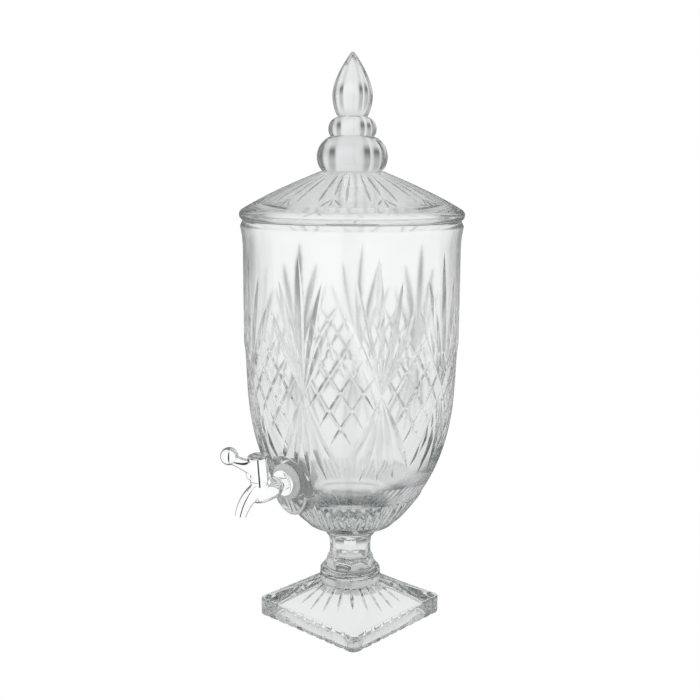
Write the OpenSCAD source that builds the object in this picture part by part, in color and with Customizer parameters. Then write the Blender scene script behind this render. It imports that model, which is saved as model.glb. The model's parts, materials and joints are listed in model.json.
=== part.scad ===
// Glass drink dispenser: a pressed-glass urn on a square foot, with a lobed lid and a quarter-turn tap.
// Millimetres, +Z up, origin at the centre of the foot's underside, tap towards -Y.

/* [Foot and stem] */
// Width of the square foot
foot_w = 119; // [104:1:140]
// Radius of the foot's upright corners
foot_corner_r = 7; // [4:0.5:12]
// Height of the foot's upright sides
plinth_h = 16; // [10:0.5:20]
// Rise of the foot's sloping top from its edge to the stem
foot_rise = 18; // [14:0.5:26]
// Ledge left between the notches and the foot's sloping top
foot_ledge = 0.6; // [0.4:0.1:3]
// Notches along each upright side of the foot
side_notches = 9; // [5:1:12]
// Radius of one notch
notch_r = 3; // [2:0.25:4]
// Depth of one notch
notch_depth = 1; // [0.5:0.25:1.5]
// Radial flutes cut into the foot's top
foot_flutes = 24; // [16:8:32]
// Length of one flute
flute_len = 24; // [12:1:28]
// Depth of one flute
flute_depth = 1.6; // [0.8:0.2:2.4]
// Radius of the stem where it meets the foot
stem_foot_r = 27; // [24:0.5:32]
// Height of the upright ring where the stem meets the foot
stem_ring_h = 1.5; // [1:0.25:4]
// Radius of the stem at its waist, across corners
stem_waist_r = 19; // [16:0.5:22]
// How much wider the stem is at the top of its flats
stem_hip_out = 1.4; // [0.6:0.2:3]
// Height of the round flare under the stem's flats
lower_flare_h = 14; // [10:0.5:20]
// Height of the stem's flats
stem_flat_h = 23; // [16:0.5:30]
// Height of the round flare over the stem's flats
upper_flare_h = 11; // [8:0.5:16]
// Flats around the stem
stem_sides = 8; // [6:1:12]

/* [Bowl] */
// Outer radius of the bowl's upright wall
bowl_r = 94; // [86:1:104]
// Thickness of the bowl's wall
bowl_wall = 5.5; // [4:0.5:7]
// Radius of the bowl's base, where it sits on the stem
base_r = 31; // [28:0.5:36]
// Height of the bowl's curved lower part
belly_h = 173; // [150:1:200]
// Height of the bowl's upright wall
wall_h = 104.6; // [80:0.2:140]
// How far the shoulder curve is drawn in from the wall
shoulder_in = 6; // [0:0.5:10]
// How far the belly curve is drawn out from the wall
belly_out = 9.5; // [4:0.5:14]
// Thickness of the glass under the bowl's floor
floor_t = 28; // [18:1:40]
// Radius of the bowl's inner floor
floor_r = 20; // [14:0.5:26]
// How far the rim's bead stands out of the wall
bead_out = 2.5; // [1:0.25:4]
// Radius of the rim's bead
bead_r = 3.2; // [2.5:0.1:4]

/* [Lid] */
// How far the lid stands out past the bowl's wall
lid_over = 3; // [2.5:0.1:6]
// Radius of the lid's rounded rim
lid_rim_r = 5.4; // [4:0.2:6]
// Height of the lid, from its seat to the finial
lid_h = 42; // [34:0.2:52]
// Thickness of the lid
lid_wall = 6; // [4.5:0.5:8]
// How far the lid's slope swells outwards
lid_swell = 2.8; // [0:0.2:4]
// Flat left on the lid around the finial's foot
neck_ledge = 1.5; // [0.5:0.25:4]
// Depth of the locating ring under the lid
ring_depth = 6; // [4:0.5:10]
// Thickness of the locating ring
ring_t = 4; // [3:0.5:6]
// Play between the locating ring and the bowl
ring_play = 1.5; // [0.5:0.25:3]

/* [Finial] */
// Lobes around the finial
lobes = 8; // [6:1:10]
// Depth of the valleys between lobes, as a share of the radius
lobe_depth = 0.07; // [0.03:0.01:0.12]
// Outer radius of the lower melon
melon_r = 30.2; // [27:0.2:33]
// How far the lower melon tucks in at its foot
melon_tuck = 4.7; // [3:0.1:6]
// Height of the lower melon
melon_h = 29.2; // [24:0.2:34]
// Outer radius of the upper melon
knop_r = 20.4; // [18:0.2:23]
// How far the upper melon tucks in at its foot
knop_tuck = 1.9; // [1:0.1:4]
// Height of the upper melon
knop_h = 16.4; // [13:0.2:20]
// Radius of the bud at its widest
bud_r = 17.2; // [15:0.2:20]
// How far the bud tucks in at its foot
bud_tuck = 4.7; // [3:0.1:6]
// Height of the bud
bud_h = 52.8; // [44:0.2:62]
// Radius of the flat at the bud's tip
tip_r = 1.2; // [0.6:0.1:2]

/* [Tap boss] */
// Height of the tap hole above the bowl's base
tap_rise = 62; // [58:1:72]
// How far the boss face stands out of the bowl's wall at the tap hole
boss_out = 2.6; // [1.6:0.2:6]
// Nose-down tilt of the tap and its boss
tap_tilt = 5; // [0:0.5:8]
// Radius of the boss's flat face
boss_face_r = 22; // [19:0.5:24]
// Radius of the boss's rounded edge
boss_edge_r = 10; // [6:0.5:12]
// Thickness of the glass between the two washers
boss_t = 14; // [11:0.5:18]
// Radius of the shank's thread
shank_r = 8; // [7:0.25:9]
// Play of the shank in the glass and the washers
shank_play = 0.5; // [0.25:0.05:0.8]

/* [Tap] */
// Radius of the flange that clamps the outer washer
flange_r = 11.75; // [11:0.25:13]
// Thickness of the flange
flange_t = 5; // [3:0.5:7]
// Radius of the flange's rounded edge
flange_edge_r = 2; // [0.5:0.25:2.5]
// Radius of the silicone washers
washer_r = 15.4; // [14:0.2:18]
// Thickness of each silicone washer
washer_t = 2.5; // [1.5:0.25:3.5]
// Radius of the slip washer under the nut
slip_r = 14.4; // [13:0.2:15]
// Thickness of the slip washer under the nut
slip_t = 1; // [0.6:0.1:1.5]
// Width of the lock nut across its flats
nut_w = 24; // [22:0.5:26]
// Thickness of the lock nut
nut_t = 7; // [5:0.5:9]
// Room around the nut and its washers in the glass
pocket_play = 0.6; // [0.4:0.1:2]
// Thread left showing past the nut
thread_spare = 2.5; // [1:0.5:5]
// Pitch of the thread's ridges
thread_pitch = 1.5; // [1:0.25:2]
// Bore of the shank
shank_bore_r = 4.8; // [4:0.1:5]
// Distance of the handle's axis from the boss face
axis_out = 30.2; // [28:0.2:36]
// Radius of the tap body's round end
body_r = 10.4; // [9.8:0.1:12]
// Radius of the tap body's neck at the flange
neck_r = 8.8; // [8:0.1:10]
// Radius of the collar under the handle, and of the handle's barrel
collar_r = 8; // [7.8:0.1:9]
// Height of the collar above the shank's axis
collar_h = 10.4; // [10:0.2:14]
// Radius of the spout's bend
bend_r = 25; // [22:0.5:30]
// Radius of the spout
spout_r = 6.6; // [6:0.1:7.5]
// Bore of the spout
spout_bore_r = 4.4; // [3.5:0.1:5]
// How far the bend's centre lies behind the handle's axis
bend_back = 1.8; // [0:0.2:3]
// Angle of the bend left when the spout ends
spout_end = 20; // [10:1:30]

/* [Valve and handle] */
// Radius of the plug
plug_r = 5; // [4.6:0.1:5.2]
// Running play of the plug in its chamber
plug_play = 0.05; // [0.02:0.01:0.08]
// Radius of the plug's cross bore
port_r = 2.8; // [2:0.1:3]
// Depth of the plug below the shank's axis
plug_depth = 6.5; // [6.2:0.1:7]
// Distance of each O-ring from the edge of the cross bore
oring_land = 2.25; // [1.8:0.05:2.4]
// Radius of an O-ring's section
oring_r = 0.9; // [0.7:0.05:1]
// Thickness of the clip over the plug
clip_t = 1.5; // [1:0.1:2]
// Width of the clip around the plug's shoulder
clip_over = 0.8; // [0.5:0.1:1]
// Width of the square drive on the plug
drive_w = 5.4; // [4.5:0.1:5.6]
// Height of the square drive
drive_h = 11.5; // [8:0.5:13]
// Height of the handle's barrel
barrel_h = 20; // [19:0.5:26]
// Gap between the collar and the handle
turn_gap = 0.3; // [0.2:0.05:0.5]
// Play of the pieces that fit together inside the handle
fit_play = 0.05; // [0.02:0.01:0.1]
// Quarter turn from shut to open, in degrees
turn = 90; // [60:5:90]
// Direction of the shut lever from the spout, in degrees towards +X
lever_at = -45; // [-60:5:0]
// Direction of the stop tab from the spout, in degrees towards +X
tab_at = 45; // [30:5:60]
// Width of the stop tab, in degrees
tab_width = 18; // [12:1:24]
// Depth of the collar's stop window
window_depth = 1.25; // [0.9:0.05:1.3]
// Height of the stop window
window_h = 3; // [2:0.25:3.5]
// Reach of the lever's ball from the handle's axis
ball_out = 23.4; // [20:0.2:30]
// Rise of the ball above the foot of the handle
ball_rise = 22.2; // [19:0.2:28]
// Radius of the ball
ball_r = 7.2; // [6:0.1:8.5]
// Radius of the lever at the barrel
lever_r = 5.8; // [4.5:0.1:6]
// Radius of the lever at the ball
lever_tip_r = 4.4; // [3.5:0.1:5]
// Radius of the heel under the lever
heel_r = 4.2; // [3:0.1:5]
// Distance of the heel's axis inside the barrel's face
heel_set = 1; // [0.6:0.1:2]
// Overhang of the disc past the barrel
disc_over = 0.8; // [0.4:0.1:1.5]
// Thickness of the disc
disc_t = 1.3; // [1:0.1:2]
// Depth of the dish in the disc's top
dish_depth = 0.4; // [0.2:0.1:0.8]
// Radius of the disc's spigot
spigot_r = 6.4; // [5:0.1:7]
// Length of the disc's spigot
spigot_h = 1.8; // [1.2:0.1:2.5]
// Radius of the handle screw's thread
screw_r = 1.4; // [1:0.1:1.6]
// Length of the handle screw under its head
screw_len = 13.6; // [10:0.2:15]
// Radius of the handle screw's head
head_r = 3.2; // [2.6:0.1:3.6]
// Height of the handle screw's head
head_h = 2; // [1.5:0.1:2.5]
// Room over the screw's head, under the disc
head_room = 0.6; // [0.3:0.1:1]
// Width of the cross slots in the screw's head
slot_w = 0.8; // [0.5:0.1:1.2]

/* [Hidden] */
$fn = 96;
glass = [0.84, 0.89, 0.88, 0.5];
chrome = [0.82, 0.83, 0.84];
silicone = [0.7, 0.72, 0.71];
white = [0.93, 0.93, 0.91];
grey = [0.4, 0.41, 0.42];
// Steps along each long curve of the glass, and along each short one
long_steps = 18;
short_steps = 6;
// Room that a cut takes past the face that it starts from
over = 1;

// Levels of the stack, from the floor up
foot_top = plinth_h + foot_rise;
flats_z = foot_top + lower_flare_h;
flats_top = flats_z + stem_flat_h;
joint_z = flats_top + upper_flare_h;
floor_z = joint_z + floor_t;
shoulder_z = joint_z + belly_h;
rim_z = shoulder_z + wall_h;
lid_top = rim_z + lid_h;
knop_z = lid_top + melon_h;
bud_z = knop_z + knop_h;

// Foot and stem
half_w = foot_w / 2;
notch_span = foot_w - 2 * foot_corner_r;
notch_pitch = notch_span / side_notches;
stem_hip_r = stem_waist_r + stem_hip_out;
// Half the width of the foot's sloping top at its edge, and where it runs into the stem
slope_half = half_w - notch_depth - foot_ledge;
slope_top_half = (stem_foot_r - 2 * over) / sqrt(2);

// Bowl, lid and finial: drawn points of the belly's curves lie at these shares of their heights
belly_share = 0.38;
shoulder_share = 0.2;
floor_share = 0.26;
rim_in_r = bowl_r - bowl_wall;
lid_r = bowl_r + lid_over;
lid_edge = 62;
ring_r = rim_in_r - ring_play;
ring_in_r = ring_r - ring_t;
melon_foot_r = melon_r - melon_tuck;
knop_foot_r = knop_r - knop_tuck;
bud_foot_r = bud_r - bud_tuck;
lid_neck_r = melon_foot_r + neck_ledge;

// Point on the cubic curve from p[0] to p[3] that is drawn towards p[1] and p[2]
function bezier(p, t) = pow(1 - t, 3) * p[0] + 3 * t * pow(1 - t, 2) * p[1]
    + 3 * t * t * (1 - t) * p[2] + pow(t, 3) * p[3];

// Points along that curve, both ends included
function curve(p, n) = [for (i = [0:n]) bezier(p, i / n)];

// Radius of a rising curve at the height z, by halving the stretch from t = a to t = b
function radius_at(p, z, a = 0, b = 1, left = 20) = let (t = (a + b) / 2, q = bezier(p, t))
    left == 0 ? q[0] : q[1] < z ? radius_at(p, z, t, b, left - 1) : radius_at(p, z, a, t, left - 1);

// Points on an arc about c, from angle a to angle b
function arc(c, r, a, b, n) = [for (i = [0:n]) c + r * [cos(a + (b - a) * i / n), sin(a + (b - a) * i / n)]];

// Outer and inner curve of the belly, as the drawn points of a cubic
outer_belly = [[base_r, joint_z], [bowl_r + belly_out, joint_z + belly_share * belly_h],
    [bowl_r - shoulder_in, shoulder_z - shoulder_share * belly_h], [bowl_r, shoulder_z]];
inner_belly = [[floor_r, floor_z], [rim_in_r + belly_out, floor_z + floor_share * belly_h],
    [rim_in_r - shoulder_in, shoulder_z - shoulder_share * belly_h], [rim_in_r, shoulder_z]];

// Tap levels along the shank: out is towards the user, in is into the bowl
tap_z = joint_z + tap_rise;
boss_face = radius_at(outer_belly, tap_z) + boss_out;
boss_r = boss_face_r + boss_edge_r;
flange_out = washer_t + flange_t;
slip_in = boss_t + washer_t;
nut_in = slip_in + slip_t;
shank_in = nut_in + nut_t + thread_spare;
thread_depth = 0.6 * thread_pitch;
hole_r = shank_r + shank_play;
nut_corner_r = nut_w / sqrt(3);
pocket_r = max(washer_r, nut_corner_r) + pocket_play;

// Spout: angles of the bend where its tube and its bore start, and where the plug's port meets it
bend_start = 80;
bore_start = 58;
port_meets = 50;
bend_z = collar_h - bend_r - spout_r;
bend_out = axis_out - bend_back;

// Valve levels above the shank's axis
chamber_r = plug_r + plug_play;
plug_top = port_r + 2 * oring_land;
clip_z = plug_top + turn_gap;
clip_r = plug_r + clip_over;
stem_r = 0.67 * drive_w;
barrel_z = collar_h + turn_gap;
barrel_top = barrel_z + barrel_h;
drive_top = barrel_z + drive_h;
screw_seat = barrel_top - spigot_h - head_h - head_room;
window_r = collar_r - window_depth;
// Slack of the stop tab at each end of its window, in degrees
tab_slack = 1;
disc_r = collar_r + disc_over;

// Square outline with round corners
module round_square(w, r) {
    square([w, w - 2 * r], center = true);
    square([w - 2 * r, w], center = true);
    for (x = [-1, 1], y = [-1, 1]) translate([x * (w / 2 - r), y * (w / 2 - r)]) circle(r);
}

// Ring along +Z from height z
module ring(r_out, r_in, h, z = 0) {
    translate([0, 0, z]) difference() {
        cylinder(r = r_out, h = h);
        translate([0, 0, -over]) cylinder(r = r_in, h = h + 2 * over);
    }
}

// Children drawn about the tap: origin on the boss face, +Z outwards along the shank, +X to the right
module on_shank() {
    translate([0, -boss_face, tap_z]) rotate([90 + tap_tilt, 0, 0]) children();
}

// Children drawn about the handle's axis: +Z up along it, from the height of the shank's axis
module on_handle_axis() {
    translate([0, -boss_face, tap_z]) rotate([tap_tilt, 0, 0]) translate([0, -axis_out, 0]) children();
}

module foot_outline() {
    difference() {
        round_square(foot_w, foot_corner_r);
        for (side = [0:3], i = [0:side_notches - 1])
            rotate(side * 90)
                translate([half_w + notch_r - notch_depth, (i + 0.5) * notch_pitch - notch_span / 2])
                    circle(notch_r);
    }
}

// V flute down the foot's sloping top, from inside the stem outwards, in the direction a
module flute(a) {
    from_r = stem_foot_r - 2 * over;
    fall = foot_rise / (slope_half - slope_top_half);
    from_side = (a + 45) % 90 - 45;
    start = foot_top - fall * (from_r * cos(from_side) - slope_top_half);
    rotate(a) translate([from_r, 0, start]) rotate([0, atan(fall * cos(from_side)), 0])
        rotate([90, 0, 90]) linear_extrude(flute_len + 2 * over)
            polygon([[0, -flute_depth], [2 * flute_depth, flute_depth], [-2 * flute_depth, flute_depth]]);
}

module pedestal() {
    foot_mid_r = (stem_foot_r + stem_waist_r) / 2;
    hip_mid_r = (stem_hip_r + base_r) / 2;
    color(glass) {
        linear_extrude(plinth_h) foot_outline();
        difference() {
            translate([0, 0, plinth_h]) rotate(45)
                cylinder(h = foot_rise, r1 = slope_half * sqrt(2), r2 = slope_top_half * sqrt(2), $fn = 4);
            for (i = [0:foot_flutes - 1]) flute((i + 0.5) * 360 / foot_flutes);
        }
        rotate_extrude() polygon(concat([[0, plinth_h / 2], [stem_foot_r, plinth_h / 2]],
            curve([[stem_foot_r, foot_top + stem_ring_h], [foot_mid_r, foot_top + lower_flare_h / 2],
                [stem_waist_r, flats_z - lower_flare_h / 4], [stem_waist_r, flats_z]], short_steps),
            [[0, flats_z]]));
        rotate_extrude($fn = stem_sides) polygon([[0, flats_z], [stem_waist_r + stem_hip_out / 2, flats_z],
            [stem_waist_r, flats_z + stem_flat_h / 3], [stem_hip_r, flats_top], [0, flats_top]]);
        rotate_extrude() polygon(concat([[0, flats_top]],
            curve([[stem_hip_r, flats_top], [stem_hip_r, flats_top + upper_flare_h / 2],
                [hip_mid_r, joint_z - upper_flare_h / 4], [base_r, joint_z]], short_steps),
            [[0, joint_z]]));
    }
}

// Outside of the urn, up to its beaded rim
module urn_outside() {
    bead = [bowl_r + bead_out - bead_r, rim_z - bead_r];
    rotate_extrude() polygon(concat([[0, joint_z]], curve(outer_belly, long_steps),
        [[bowl_r, rim_z - 3 * bead_r]], arc(bead, bead_r, -20, 90, short_steps), [[0, rim_z]]));
}

// Inside of the urn
module urn_inside() {
    rotate_extrude() polygon(concat([[0, floor_z]], curve(inner_belly, long_steps),
        [[rim_in_r, rim_z + over], [0, rim_z + over]]));
}

// Round nose of glass that carries the tap, with a flat face
module boss() {
    on_shank() rotate_extrude() polygon(concat([[0, -2 * boss_t], [boss_r, -2 * boss_t]],
        arc([boss_face_r, -boss_edge_r], boss_edge_r, 0, 90, short_steps), [[0, 0]]));
}

module bowl() {
    spot_face_r = boss_face_r + boss_edge_r / 10;
    color(glass) difference() {
        union() {
            urn_outside();
            boss();
        }
        difference() {
            urn_inside();
            on_shank() translate([0, 0, -boss_t]) cylinder(r = pocket_r + over, h = 2 * boss_t);
        }
        on_shank() {
            cylinder(r = spot_face_r, h = boss_t);
            translate([0, 0, -3 * boss_t]) cylinder(r = pocket_r, h = 2 * boss_t);
            translate([0, 0, -boss_t - over]) cylinder(r = hole_r, h = boss_t + 2 * over);
        }
    }
}

module lid() {
    rim = [lid_r - lid_rim_r, rim_z + lid_rim_r];
    edge = rim + lid_rim_r * [cos(lid_edge), sin(lid_edge)];
    neck = [lid_neck_r, lid_top];
    third = (neck - edge) / 3;
    slope = third[1] / -third[0];
    drop = lid_wall / cos(atan(slope));
    crown_r = lid_neck_r - lid_wall / 2;
    color(glass) rotate_extrude() polygon(concat(
        [[0, lid_top - lid_wall], [crown_r, lid_top + slope * (lid_neck_r - crown_r) - drop],
            [ring_in_r, edge[1] + slope * (edge[0] - ring_in_r) - drop],
            [ring_in_r, rim_z - ring_depth], [ring_r, rim_z - ring_depth], [ring_r, rim_z]],
        arc(rim, lid_rim_r, -90, lid_edge, short_steps),
        curve([edge, edge + third + [0, lid_swell], neck - third + [0, lid_swell / 2], neck], short_steps),
        [[0, lid_top]]));
}

// Draw that gives a curve from radius a to radius b its greatest radius r
function bulge(r, a, b) = (8 * r - a - b) / 6;

// Curve of one melon, from radius a at height z to radius b at its top
function melon(r, a, b, z, h) = curve([[a, z], [bulge(r, a, b), z + 0.2 * h],
    [bulge(r, a, b), z + 0.8 * h], [b, z + h]], short_steps);

// Curves of the bud, from its foot to its widest and on to its tip
function bud() = let (wide_z = bud_z + 0.32 * bud_h) concat(
    curve([[bud_foot_r, bud_z], [bud_foot_r + bud_tuck / 2, bud_z + 0.05 * bud_h],
        [bud_r, bud_z + 0.19 * bud_h], [bud_r, wide_z]], short_steps),
    curve([[bud_r, wide_z], [bud_r, bud_z + 0.51 * bud_h], [0.6 * bud_r, bud_z + 0.77 * bud_h],
        [tip_r, bud_z + bud_h]], short_steps));

// Share of the radius at the angle a around the lobes
function lobe(a) = 1 - lobe_depth * (1 - abs(cos(lobes * a / 2)));

module finial() {
    steps = 6 * lobes;
    raw = concat(melon(melon_r, melon_foot_r, knop_foot_r, lid_top, melon_h),
        melon(knop_r, knop_foot_r, bud_foot_r, knop_z, knop_h), bud());
    line = [for (i = [0:len(raw) - 1]) if (i == 0 || raw[i] != raw[max(i - 1, 0)]) raw[i]];
    last = len(line) - 1;
    points = [for (p = line, j = [0:steps - 1]) let (a = j * 360 / steps, r = p[0] * lobe(a))
        [r * cos(a), r * sin(a), p[1]]];
    walls = [for (i = [0:last - 1], j = [0:steps - 1], k = [0, 1])
        let (q = i * steps + j, w = i * steps + (j + 1) % steps)
        k == 0 ? [q, q + steps, w + steps] : [q, w + steps, w]];
    color(glass) polyhedron(points, concat(walls, [[for (j = [0:steps - 1]) j]],
        [[for (j = [steps - 1:-1:0]) last * steps + j]]));
}

module outer_washer() { color(silicone) on_shank() ring(washer_r, hole_r, washer_t); }

module inner_washer() { color(silicone) on_shank() ring(washer_r, hole_r, washer_t, -slip_in); }

module nut_washer() { color(white) on_shank() ring(slip_r, hole_r, slip_t, -nut_in); }

module lock_nut() {
    color(white) on_shank() translate([0, 0, -nut_in - nut_t]) difference() {
        cylinder(r = nut_corner_r, h = nut_t, $fn = 6);
        translate([0, 0, -over]) cylinder(r = shank_r + 2 * fit_play, h = nut_t + 2 * over);
    }
}

// Threaded shank and flange, as one turned piece with rounded thread ridges
module shank() {
    ridges = floor((shank_in - over) / thread_pitch);
    rotate_extrude() polygon(concat([[0, -shank_in]],
        [for (i = [0:ridges - 1], k = [0, 1])
            [shank_r - (1 - k) * thread_depth, -shank_in + (i + 0.5 * k) * thread_pitch]],
        [[shank_r, washer_t - over], [shank_r, washer_t], [flange_r, washer_t]],
        arc([flange_r, flange_out] - flange_edge_r * [1, 1], flange_edge_r, 0, 90, short_steps),
        [[0, flange_out]]));
}

// Curved spout: a tube bent about a level axis in front of the collar
module bend(r, from, to) {
    translate([0, -bend_out, bend_z]) rotate([90, 0, -90]) rotate(from)
        rotate_extrude(angle = to - from) translate([bend_r, 0]) circle(r);
}

// Outside of the tap body about the handle's axis
module body_outside() {
    sphere(body_r);
    cylinder(r = collar_r, h = collar_h);
    rotate([-90, 0, 0]) cylinder(r1 = body_r, r2 = neck_r, h = axis_out - washer_t - flange_t / 2);
}

// Sector of a ring, from angle a to angle b, measured from the spout towards +X
module sector(r_out, r_in, h, a, b) {
    rotate(a - 90) rotate_extrude(angle = b - a) translate([r_in, 0]) square([r_out - r_in, h]);
}

module tap_body() {
    half_tab = tab_width / 2 + tab_slack;
    color(chrome) difference() {
        union() {
            on_shank() shank();
            on_handle_axis() body_outside();
            on_handle_axis() translate([0, axis_out, 0]) bend(spout_r, spout_end, bend_start);
        }
        on_shank() {
            translate([0, 0, -shank_in - over])
                cylinder(r = shank_bore_r, h = shank_in + axis_out - collar_r + over);
            cylinder(r = port_r, h = bend_out + bend_r * cos(port_meets));
        }
        on_handle_axis() {
            translate([0, 0, -plug_depth]) cylinder(r = chamber_r, h = collar_h + plug_depth + over);
            translate([0, 0, clip_z]) cylinder(r = clip_r + fit_play, h = collar_h);
            translate([0, 0, collar_h - window_h]) sector(collar_r + over, window_r, window_h + over,
                tab_at - half_tab, tab_at + turn + half_tab);
            translate([0, axis_out, 0]) bend(spout_bore_r, spout_end / 2, bore_start);
        }
    }
}

module valve_plug() {
    groove_r = plug_r - 2 * oring_r;
    groove_h = 2 * (oring_r + fit_play);
    color(white) on_handle_axis() difference() {
        union() {
            translate([0, 0, turn_gap - plug_depth])
                cylinder(r = plug_r, h = plug_depth - turn_gap + plug_top);
            cylinder(r = stem_r, h = barrel_z);
            translate([-drive_w / 2, -drive_w / 2, collar_h]) cube([drive_w, drive_w, drive_top - collar_h]);
        }
        rotate([0, 90, 0]) translate([0, 0, -plug_r - over]) cylinder(r = port_r, h = 2 * (plug_r + over));
        for (s = [-1, 1]) ring(plug_r + over, groove_r, groove_h, s * (port_r + oring_land) - groove_h / 2);
        translate([0, 0, barrel_z]) cylinder(r = screw_r + fit_play, h = drive_h + over);
    }
}

module plug_o_rings() {
    section_r = oring_r - fit_play / 2;
    color("black") on_handle_axis() for (s = [-1, 1]) translate([0, 0, s * (port_r + oring_land)])
        rotate_extrude() translate([plug_r - section_r, 0]) circle(section_r, $fn = 32);
}

module plug_clip() { color(white) on_handle_axis() ring(clip_r, stem_r + turn_gap, clip_t, clip_z); }

// Outside of the handle: barrel, heel, lever and ball
module handle_outside() {
    root_z = barrel_z + lever_r;
    ball_z = barrel_z + ball_rise;
    rise = ball_z - root_z;
    heel_z = barrel_z + heel_r + turn_gap;
    translate([0, 0, barrel_z]) cylinder(r = collar_r, h = barrel_h);
    rotate(lever_at) {
        translate([0, heel_set - collar_r, heel_z]) cylinder(r = heel_r, h = lever_r);
        translate([0, heel_set - collar_r, heel_z]) sphere(heel_r);
        translate([0, 0, root_z]) rotate([90 - atan2(rise, ball_out), 0, 0])
            cylinder(r1 = lever_r, r2 = lever_tip_r, h = norm([ball_out, rise]));
        translate([0, -ball_out, ball_z]) sphere(ball_r);
    }
}

module tap_handle() {
    half_tab = tab_width / 2;
    socket_w = drive_w + 2 * fit_play;
    color(chrome) on_handle_axis() {
        difference() {
            handle_outside();
            translate([-socket_w / 2, -socket_w / 2, barrel_z - over])
                cube([socket_w, socket_w, drive_h + turn_gap + over]);
            translate([0, 0, barrel_z]) cylinder(r = screw_r + turn_gap, h = barrel_h + over);
            translate([0, 0, screw_seat]) cylinder(r = head_r + turn_gap, h = barrel_h);
            translate([0, 0, barrel_top - spigot_h - turn_gap])
                cylinder(r = spigot_r + fit_play, h = barrel_h);
            translate([0, 0, barrel_top]) cylinder(r = disc_r + turn_gap, h = barrel_h);
        }
        translate([0, 0, collar_h - window_h + turn_gap])
            sector(collar_r - fit_play, window_r + turn_gap, window_h + turn_gap, tab_at - half_tab, tab_at + half_tab);
    }
}

module handle_screw() {
    slot_len = 1.2 * head_r;
    color(grey) on_handle_axis() translate([0, 0, screw_seat]) difference() {
        union() {
            cylinder(r = head_r, h = head_h);
            translate([0, 0, -screw_len]) cylinder(r = screw_r, h = screw_len);
        }
        translate([0, 0, head_h / 2]) for (a = [0, 90]) rotate(a)
            translate([-slot_len / 2, -slot_w / 2, 0]) cube([slot_len, slot_w, head_h]);
    }
}

module index_disc() {
    dish_t = disc_t - dish_depth;
    color(grey) on_handle_axis() translate([0, 0, barrel_top]) {
        translate([0, 0, -spigot_h]) cylinder(r = spigot_r, h = spigot_h);
        rotate_extrude() polygon(concat([[0, 0]], arc([disc_r - disc_t, 0], disc_t, 0, 90, short_steps),
            [[disc_r - disc_t - dish_depth, dish_t], [0, dish_t]]));
    }
}

pedestal();
bowl();
lid();
finial();
outer_washer();
tap_body();
inner_washer();
nut_washer();
lock_nut();
valve_plug();
plug_o_rings();
plug_clip();
tap_handle();
handle_screw();
index_disc();
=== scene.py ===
"""Looks of a pressed-glass drink dispenser: urn on a square foot, lid with a lobed knob, chromed lever tap.

Sizes are millimetres until a mesh is made. Azimuth 0 is the tap's direction (-Y) and grows towards +X.
"""

import json
import math

import bmesh
import bpy
import numpy as np
from mathutils import Matrix, Vector
from mathutils.geometry import delaunay_2d_cdt


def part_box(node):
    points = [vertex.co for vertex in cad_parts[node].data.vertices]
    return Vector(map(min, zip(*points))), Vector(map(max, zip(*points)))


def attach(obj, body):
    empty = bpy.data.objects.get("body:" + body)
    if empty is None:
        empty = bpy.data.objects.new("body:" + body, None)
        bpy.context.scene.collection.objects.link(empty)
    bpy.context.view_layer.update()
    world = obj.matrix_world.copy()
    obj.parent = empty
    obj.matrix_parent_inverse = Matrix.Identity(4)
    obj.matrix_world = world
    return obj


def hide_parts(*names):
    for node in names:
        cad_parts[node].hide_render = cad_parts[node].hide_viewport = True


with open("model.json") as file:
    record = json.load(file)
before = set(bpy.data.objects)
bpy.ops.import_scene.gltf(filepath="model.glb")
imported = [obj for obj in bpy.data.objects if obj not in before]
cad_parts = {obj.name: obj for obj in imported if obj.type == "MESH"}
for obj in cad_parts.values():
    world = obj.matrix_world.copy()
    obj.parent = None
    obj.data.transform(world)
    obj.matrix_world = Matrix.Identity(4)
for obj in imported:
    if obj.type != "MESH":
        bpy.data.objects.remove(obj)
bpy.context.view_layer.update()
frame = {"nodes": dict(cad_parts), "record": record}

MM = 0.001
SCENE = bpy.context.scene

# Levels and radii that the frame gives
JOINT_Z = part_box("bowl")[0].z / MM
RIM_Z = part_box("bowl")[1].z / MM
FOOT_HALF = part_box("pedestal")[1].x / MM
LID_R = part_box("lid")[1].x / MM
LID_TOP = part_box("finial")[0].z / MM
TIP_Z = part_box("finial")[1].z / MM

# Small sizes that shapes share: radius of a pole, length of a cut past a face and past the rim
CORE_R = 1.0
CUT_OVER = 1.0
CUT_PAST = 5.0

# Urn: outside like the solid up to the flare, inside rounder and with a lower floor
BOWL_R = 94.0
BOWL_WALL = 5.5
BASE_R = 31.0
SHOULDER_Z = JOINT_Z + 173.0
FLOOR_Z = JOINT_Z + 22.0
FLOOR_DIP = 0.3
FLARE_Z = RIM_Z - 24.0
FLARE_BEND = 10.0
FLARE_EASE = 6.0
RIM_R = 96.4
EDGE_R = 2.0
OUTER_BELLY = ((BASE_R, JOINT_Z), (103.5, JOINT_Z + 65.74), (88.0, SHOULDER_Z - 34.6), (BOWL_R, SHOULDER_Z))
INNER_BELLY = ((6.0, FLOOR_Z), (92.0, FLOOR_Z + 22.0), (82.5, SHOULDER_Z - 34.6),
               (BOWL_R - BOWL_WALL, SHOULDER_Z))
BELLY_LOW = 89.8
WALL_GAP = 4.2
RIM_STEPS = 12
RIB_STEPS = 5
URN_CREASE = 11
HOLLOW_COLUMNS = 144
INSIDE_WITHIN = 0.6

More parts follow.
